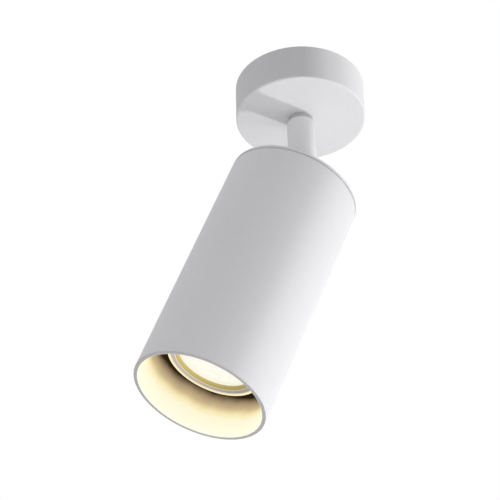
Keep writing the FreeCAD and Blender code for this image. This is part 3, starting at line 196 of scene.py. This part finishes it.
GLOW_STRENGTH = 1.0
PAINTED_EDGE_SHADE = (0.56, 0.54, 0.55)    # painted shade: grey on the mouth's cut edge
RIM_DEPTH = 0.0005
DARK_BEHIND = 0.006              # the wall behind the lamp's face that still gets a little light
WAVER_SCALE, WAVER = 90.0, 0.0006
# painted light: the lamp's light on the wall, given off as emission, by metres from the lamp's face towards
# the mouth
GLOW = [(-0.0046, (0.012, 0.006, 0.002)), (-0.0039, (0.08, 0.05, 0.02)), (-0.0025, (0.20, 0.14, 0.08)),
        (-0.0007, (0.35, 0.26, 0.15)), (0.0028, (0.54, 0.42, 0.23)), (0.0063, (0.86, 0.74, 0.42)),
        (0.0098, (0.91, 0.86, 0.62)), (0.0200, (0.91, 0.90, 0.74))]
# painted shade: the wall's base colour inside, by the share of the way to the mouth, dark, as its light is
# the painted glow
WALL = [(0.0, (0.02, 0.012, 0.004)), (0.25, (0.06, 0.05, 0.03)), (1.0, (0.12, 0.11, 0.09))]


def lit_tube(name):
    """Powder coat outside, with painted shade on the mouth's edge; inside, the lamp's light on the wall
    painted as emission, brighter towards the mouth, over a base colour painted dark.
    """
    surface = powder_coat(name)
    rim = surface.between(surface.down_the_head(), MOUTH - RIM_DEPTH, MOUTH - NEAR)
    coat = surface.mix(rim, surface.base_colour(), PAINTED_EDGE_SHADE)
    inside = surface.between(surface.from_head_axis(), TUBE_INSIDE + FAR, TUBE_INSIDE + NEAR)
    waver = surface.between(surface.noise(WAVER_SCALE), NOISE_LOW, NOISE_HIGH, -WAVER, WAVER)
    depth = surface.math("ADD", surface.down_the_head(), waver)
    share = surface.between(depth, LAMP_FACE - DARK_BEHIND, MOUTH)
    glow = surface.ramp_from(share, -DARK_BEHIND, MOUTH - LAMP_FACE, GLOW)
    surface.set("Base Color", surface.mix(inside, coat, surface.ramp(share, WALL)))
    surface.set("Emission Color", surface.mix(inside, BLACK, glow))
    return surface.set("Emission Strength", GLOW_STRENGTH)


METAL_DRIFT, METAL_GRAIN, METAL_DEPTH, METAL_BUMP = 700.0, 900.0, 0.00001, 0.5
METAL_STRETCH = (1.0, 1.0, 0.15)
MOULD_DRIFT, MOULD_GRAIN, MOULD_DEPTH, MOULD_BUMP = 300.0, 1100.0, 0.00002, 0.4
PORCELAIN_GRAIN = 700.0


def metal(name, *colours, rough):
    surface = Surface(name, Metallic=1.0)
    surface.mottled(colours, rough, METAL_DRIFT)
    return surface.bumpy(surface.noise(METAL_GRAIN, FINE_DETAIL, METAL_STRETCH), METAL_DEPTH, METAL_BUMP)


def moulded(name, *colours, rough, grain=MOULD_GRAIN):
    surface = Surface(name)
    surface.mottled(colours, rough, MOULD_DRIFT)
    return surface.bumpy(surface.noise(grain), MOULD_DEPTH, MOULD_BUMP)


RIM_STRENGTH = 0.85
RIM_DARKEN = 0.75                 # off the bands' colour, as most of their painted light is emission
DIM_FROM, DIM_TO = -0.016, 0.014  # across the head, where the rim's painted light falls to DIM_SHARE: painted shade on one side
DIM_SHARE = 0.55
# colours of the rim by radius, given off as emission: painted lamp light, with a painted highlight at the
# lip
RIM_BANDS = [(0.0199, (0.62, 0.50, 0.16)), (0.0206, (0.46, 0.36, 0.12)), (0.0212, (0.60, 0.52, 0.28)),
             (0.0215, (0.86, 0.80, 0.58)), (0.0219, (0.44, 0.40, 0.40)), (0.0228, (0.50, 0.45, 0.46)),
             (0.0236, (0.40, 0.33, 0.30)), (0.0239, (0.94, 0.86, 0.58)), (0.0250, (0.94, 0.86, 0.58))]


def lamp_rim(name):
    """The lamp's front ring from the lens out: gold, a pale line, lilac-grey, and the lit lip, all painted
    light as emission; the lip is a painted highlight, and the ring dims across the head as painted shade.
    """
    surface = moulded(name, (0.60, 0.57, 0.58), (0.66, 0.63, 0.64), rough=(0.30, 0.42))
    share = surface.between(surface.from_head_axis(), LENS_RADIUS, LAMP_RADIUS)
    bands = surface.ramp_from(share, LENS_RADIUS, LAMP_RADIUS, RIM_BANDS)
    dim = surface.between(surface.dot(HEAD_ACROSS, PIVOT), DIM_FROM, DIM_TO, 1.0, DIM_SHARE)
    lip = surface.between(surface.from_head_axis(), LIP_RADIUS - 2 * NEAR, LIP_RADIUS)
    surface.set("Base Color", surface.mix(RIM_DARKEN, bands, BLACK))
    surface.set("Emission Color", surface.mix(surface.math("MAXIMUM", dim, lip), BLACK, bands))
    return surface.set("Emission Strength", RIM_STRENGTH)


FACET_SCALE, FACET_DEPTH, FACET_BUMP = 420.0, 0.0001, 0.6
FACET_MIDDLE, FACET_EDGE = 0.2, 0.8    # of the pattern's distance
LENS_SPECULAR, LENS_ROUGH, LENS_STRENGTH = 0.5, 0.25, 1.0
LENS_WARM_FROM = 0.72    # of the lens's radius
LENS_COLD, LENS_WARM, LENS_DIMMED = (0.80, 0.80, 0.74), (0.78, 0.75, 0.60), (0.76, 0.75, 0.67)
LENS_BASE = [(0.0, (0.24, 0.24, 0.22)), (1.0, (0.18, 0.17, 0.14))]    # from a facet's middle out


def lit_lens(name):
    """Small lens facets over the light, warm towards the edge."""
    surface = Surface(name, Specular_IOR_Level=LENS_SPECULAR, Roughness=LENS_ROUGH)
    facets = surface.node("ShaderNodeTexVoronoi", {"Vector": surface.place, "Scale": FACET_SCALE})
    facets = facets.outputs["Distance"]
    surface.set("Base Color", surface.ramp(facets, LENS_BASE))
    edge = surface.between(surface.from_head_axis(), LENS_RADIUS * LENS_WARM_FROM, LENS_RADIUS)
    warm = surface.mix(edge, LENS_COLD, LENS_WARM)
    dim = surface.between(facets, FACET_MIDDLE, FACET_EDGE)
    surface.set("Emission Color", surface.mix(dim, warm, LENS_DIMMED))
    surface.set("Emission Strength", LENS_STRENGTH)
    return surface.bumpy(facets, FACET_DEPTH, FACET_BUMP)


BROWN, BLUE = (0.10, 0.035, 0.015), (0.03, 0.12, 0.42)
GREEN, YELLOW = (0.03, 0.26, 0.07), (0.75, 0.60, 0.05)
STRIPE_TURNS, STRIPE_ABOVE = 2600.0, 0.3    # radians a metre; yellow where the sine is above
EARTH_SIDE, EARTH_ABOVE = 0.00055, 0.00025  # the earth lead among the three: to the side, along Y
LEAD_SPECULAR, LEAD_ROUGH = 0.4, (0.42, 0.58)
LEAD_DRIFT, LEAD_GRAIN, LEAD_DEPTH, LEAD_BUMP = 800.0, 1600.0, 0.00002, 0.4


def leads(name, across, origin, earth_way, earth_from):
    """Three insulated leads: brown and blue either side, green and yellow where the earth runs.

    The earth runs in the middle of the three, and alone beyond earth_from on the earth_way side of Y.
    """
    surface = Surface(name, Specular_IOR_Level=LEAD_SPECULAR)
    side, aside = surface.dot(across, origin), surface.dot(Y)
    along = surface.math("ADD", side, surface.dot(Z))
    wave = surface.math("SINE", surface.math("MULTIPLY", along, STRIPE_TURNS))
    earth_colour = surface.mix(surface.math("GREATER_THAN", wave, STRIPE_ABOVE), GREEN, YELLOW)
    middle = surface.math("LESS_THAN", surface.math("ABSOLUTE", side), EARTH_SIDE)
    above = surface.math("GREATER_THAN", aside, EARTH_ABOVE)
    far = surface.math("GREATER_THAN", surface.math("MULTIPLY", aside, earth_way), earth_from)
    earth = surface.math("MAXIMUM", surface.math("MULTIPLY", middle, above), far)
    pair = surface.mix(surface.math("GREATER_THAN", side, 0.0), BROWN, BLUE)
    surface.set("Base Color", surface.mix(earth, pair, earth_colour))
    drift = surface.noise(LEAD_DRIFT)
    surface.set("Roughness", surface.between(drift, NOISE_LOW, NOISE_HIGH, *LEAD_ROUGH))
    return surface.bumpy(surface.noise(LEAD_GRAIN), LEAD_DEPTH, LEAD_BUMP)


LOOKS = {
    powder_coat("white_powder_coat"): "knuckle_block end_cap",
    shaded_coat("white_powder_coat_stem_painted_shade", collar_painted_shade_mask, COLLAR_PAINTED_SHADE): "stem_tube",
    shaded_coat("white_powder_coat_canopy_painted_light_and_shade", wall_painted_shade_mask, WALL_PAINTED_SHADE, CANOPY_PAINTED_LIGHTER_COAT): "canopy_cup",
    metal("zinc_plated_steel", (0.56, 0.57, 0.58), (0.68, 0.69, 0.70), rough=(0.28, 0.42)):
        "mounting_bracket canopy_set_screws terminal_clamp_screws terminal_block_screw rotation_stop_pin"
        " stop_washer spring_washer stem_nut tilt_pivot_screws knuckle_fixing_screws cap_set_screw"
        " lampholder_bracket bracket_screws lampholder_screws",
    metal("nickel_plated_brass", (0.62, 0.58, 0.48), (0.72, 0.69, 0.58), rough=(0.22, 0.34)):
        "terminal_inserts earth_ring_terminal bracket_standoffs head_earth_terminal lamp_pins",
    metal("turned_brass", (0.66, 0.48, 0.18), (0.78, 0.60, 0.26), rough=(0.24, 0.38)):
        "earth_screw lampholder_contacts head_earth_screw",
    moulded("natural_nylon", (0.76, 0.75, 0.70), (0.82, 0.81, 0.77), rough=(0.42, 0.55)):
        "stem_bush tilt_friction_washers",
    moulded("white_moulding", (0.78, 0.78, 0.76), (0.84, 0.84, 0.82), rough=(0.35, 0.48)):
        "terminal_block",
    moulded("porcelain", (0.78, 0.76, 0.70), (0.86, 0.84, 0.79), rough=(0.55, 0.70), grain=PORCELAIN_GRAIN):
        "lampholder_body",
    moulded("lamp_shell", (0.70, 0.70, 0.68), (0.76, 0.76, 0.74), rough=(0.22, 0.32)):
        "lamp_base lamp_housing",
    metal("reflector_bright", (0.80, 0.79, 0.76), (0.88, 0.87, 0.84), rough=(0.10, 0.18)):
        "lamp_reflector",
    moulded("board_white", (0.78, 0.78, 0.76), (0.86, 0.86, 0.84), rough=(0.30, 0.42)):
        "lamp_led_board",
    moulded("board_green", (0.02, 0.13, 0.05), (0.04, 0.19, 0.08), rough=(0.28, 0.40)):
        "lamp_driver_board",
    moulded("phosphor", (0.80, 0.58, 0.10), (0.90, 0.70, 0.18), rough=(0.35, 0.50)):
        "lamp_led_chips",
    leads("leads_supply", X, ORIGIN, earth_way=-1.0, earth_from=0.002): "supply_leads",
    leads("leads_stem", X, ORIGIN, earth_way=1.0, earth_from=0.0009): "stem_leads",
    leads("leads_head", HEAD_ACROSS, PIVOT, earth_way=1.0, earth_from=0.0009): "head_leads",
    lit_tube("white_powder_coat_lit_inside"): "head_tube",
    lamp_rim("lamp_rim_lit"): "lamp_bezel",
    lit_lens("lamp_lens_lit"): "lamp_lens",
}
for surface, names in LOOKS.items():
    for name in names.split():
        node = nodes[name]
        node.data.materials.clear()
        node.data.materials.append(surface.material)

# ---- floor, light and background ------------------------------------------------------------------
FLOOR_LEVEL, FLOOR_HALF = -1.17, 14.0
FLOOR_COLOURS = ((0.80, 0.80, 0.80), (0.83, 0.83, 0.83))
FLOOR_DRIFT, FLOOR_ROUGH = 1.5, 0.8
bpy.ops.mesh.primitive_plane_add(size=2 * FLOOR_HALF, location=(0, 0, FLOOR_LEVEL))
floor = bpy.context.object
floor.name = "floor"
pale = Surface("floor_pale", Roughness=FLOOR_ROUGH)
pale.set("Base Color", pale.mix(pale.noise(FLOOR_DRIFT), *FLOOR_COLOURS))
floor.data.materials.append(pale.material)

AIM = Vector((-0.029, 0.0, -0.105))
LIGHT_REACH = 1.5
# square lights: name, azimuth and rise in degrees, side in metres, watts;
# azimuth 0 is the camera's side, 90 its right
LIGHTS = [
    ("key_small", 118, -40, 0.10, 7.6),
    ("key_soft", 92, -28, 0.5, 3.2),
    ("key_side", 68, -10, 0.6, 3.3),
    ("key_high", 90, 30, 0.6, 3.6),
    ("fill_front", 0, -40, 0.6, 3.5),
    ("fill_left", -75, 0, 0.6, 3.4),
    ("fill_back", 180, -25, 0.6, 1.2),
]


def area_light(name, azimuth, rise, side, watts):
    """A light LIGHT_REACH from the aim, facing it."""
    data = bpy.data.lights.new(name, "AREA")
    data.size = side
    data.energy = watts
    light = bpy.data.objects.new(name, data)
    bpy.context.scene.collection.objects.link(light)
    turn, lift = math.radians(azimuth), math.radians(rise)
    step = Vector((math.sin(turn) * math.cos(lift), -math.cos(turn) * math.cos(lift), math.sin(lift)))
    light.location = AIM + LIGHT_REACH * step
    light.rotation_euler = (AIM - light.location).to_track_quat("-Z", "Y").to_euler()


for light_row in LIGHTS:
    area_light(*light_row)

# the background is white to the camera and in reflections, and lights the object with less
AMBIENT = 0.44
world = bpy.data.worlds.new("studio")
bpy.context.scene.world = world
world.use_nodes = True
tree = world.node_tree
background = next(n for n in tree.nodes if n.type == "BACKGROUND")
background.inputs["Color"].default_value = (1.0, 1.0, 1.0, 1.0)
rays = tree.nodes.new("ShaderNodeLightPath")
seen = rays.outputs["Is Camera Ray"]
for kind in ("Is Glossy Ray", "Is Transmission Ray"):
    either = tree.nodes.new("ShaderNodeMath")
    either.operation = "MAXIMUM"
    tree.links.new(seen, either.inputs[0])
    tree.links.new(rays.outputs[kind], either.inputs[1])
    seen = either.outputs[0]
strength = tree.nodes.new("ShaderNodeMapRange")
tree.links.new(seen, strength.inputs["Value"])
strength.inputs["To Min"].default_value = AMBIENT
strength.inputs["To Max"].default_value = 1.0
tree.links.new(strength.outputs[0], background.inputs["Strength"])
bpy.context.scene.view_settings.view_transform = "Standard"

# ---- camera, as fitted to the photograph's outlines -----------------------------------------------
LOOK_AT = Vector((-0.02909, 0.00183, -0.10926))
CAMERA_PLACE = Vector((-0.08505, -0.88713, -0.76207))
ROLL = math.radians(-1.27)
FOCAL, SENSOR = 153.2, 36.0  # millimetres
CLIP_START, CLIP_END = 0.01, 50.0

forward = (LOOK_AT - CAMERA_PLACE).normalized()
level = forward.cross(Z).normalized()
upright = level.cross(forward)
right = math.cos(ROLL) * level + math.sin(ROLL) * upright
up = math.cos(ROLL) * upright - math.sin(ROLL) * level
lens = bpy.data.cameras.new("camera")
lens.lens, lens.sensor_width = FOCAL, SENSOR
lens.clip_start, lens.clip_end = CLIP_START, CLIP_END
camera = bpy.data.objects.new("camera", lens)
bpy.context.scene.collection.objects.link(camera)
turn = Matrix((right, up, -forward)).transposed().to_4x4()
camera.matrix_world = Matrix.Translation(CAMERA_PLACE) @ turn
bpy.context.scene.camera = camera
